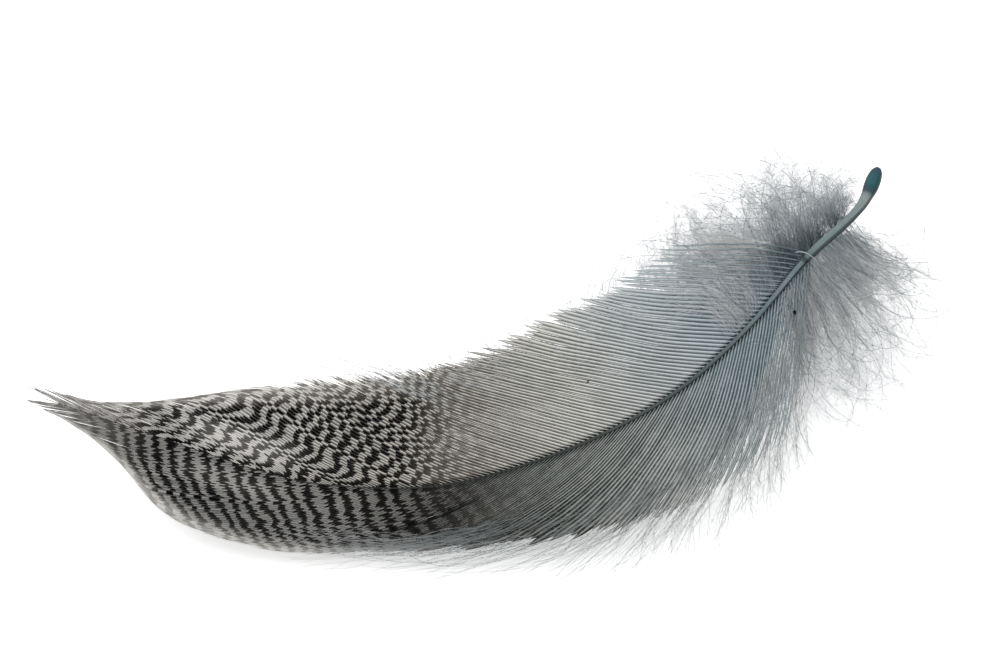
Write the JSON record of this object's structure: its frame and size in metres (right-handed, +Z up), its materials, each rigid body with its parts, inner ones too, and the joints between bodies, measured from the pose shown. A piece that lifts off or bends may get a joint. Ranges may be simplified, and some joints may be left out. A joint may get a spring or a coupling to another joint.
{
  "type": "mallard flank feather",
  "caption": "Curved, barred grey waterfowl flank feather with a swollen quill end and loose down at its base, lying hollow side up.",
  "frame": {"origin": "middle of the feather's box at the surface it lies on", "axes": "+X along the feather from the tip to the quill's end, +Y to the far vane, +Z up"},
  "size_m": [0.0968, 0.0451, 0.0185],
  "materials": {
    "feather": "matte"
  },
  "bodies": {
    "root": {"feather": "feather"}
  },
  "joints": []
}
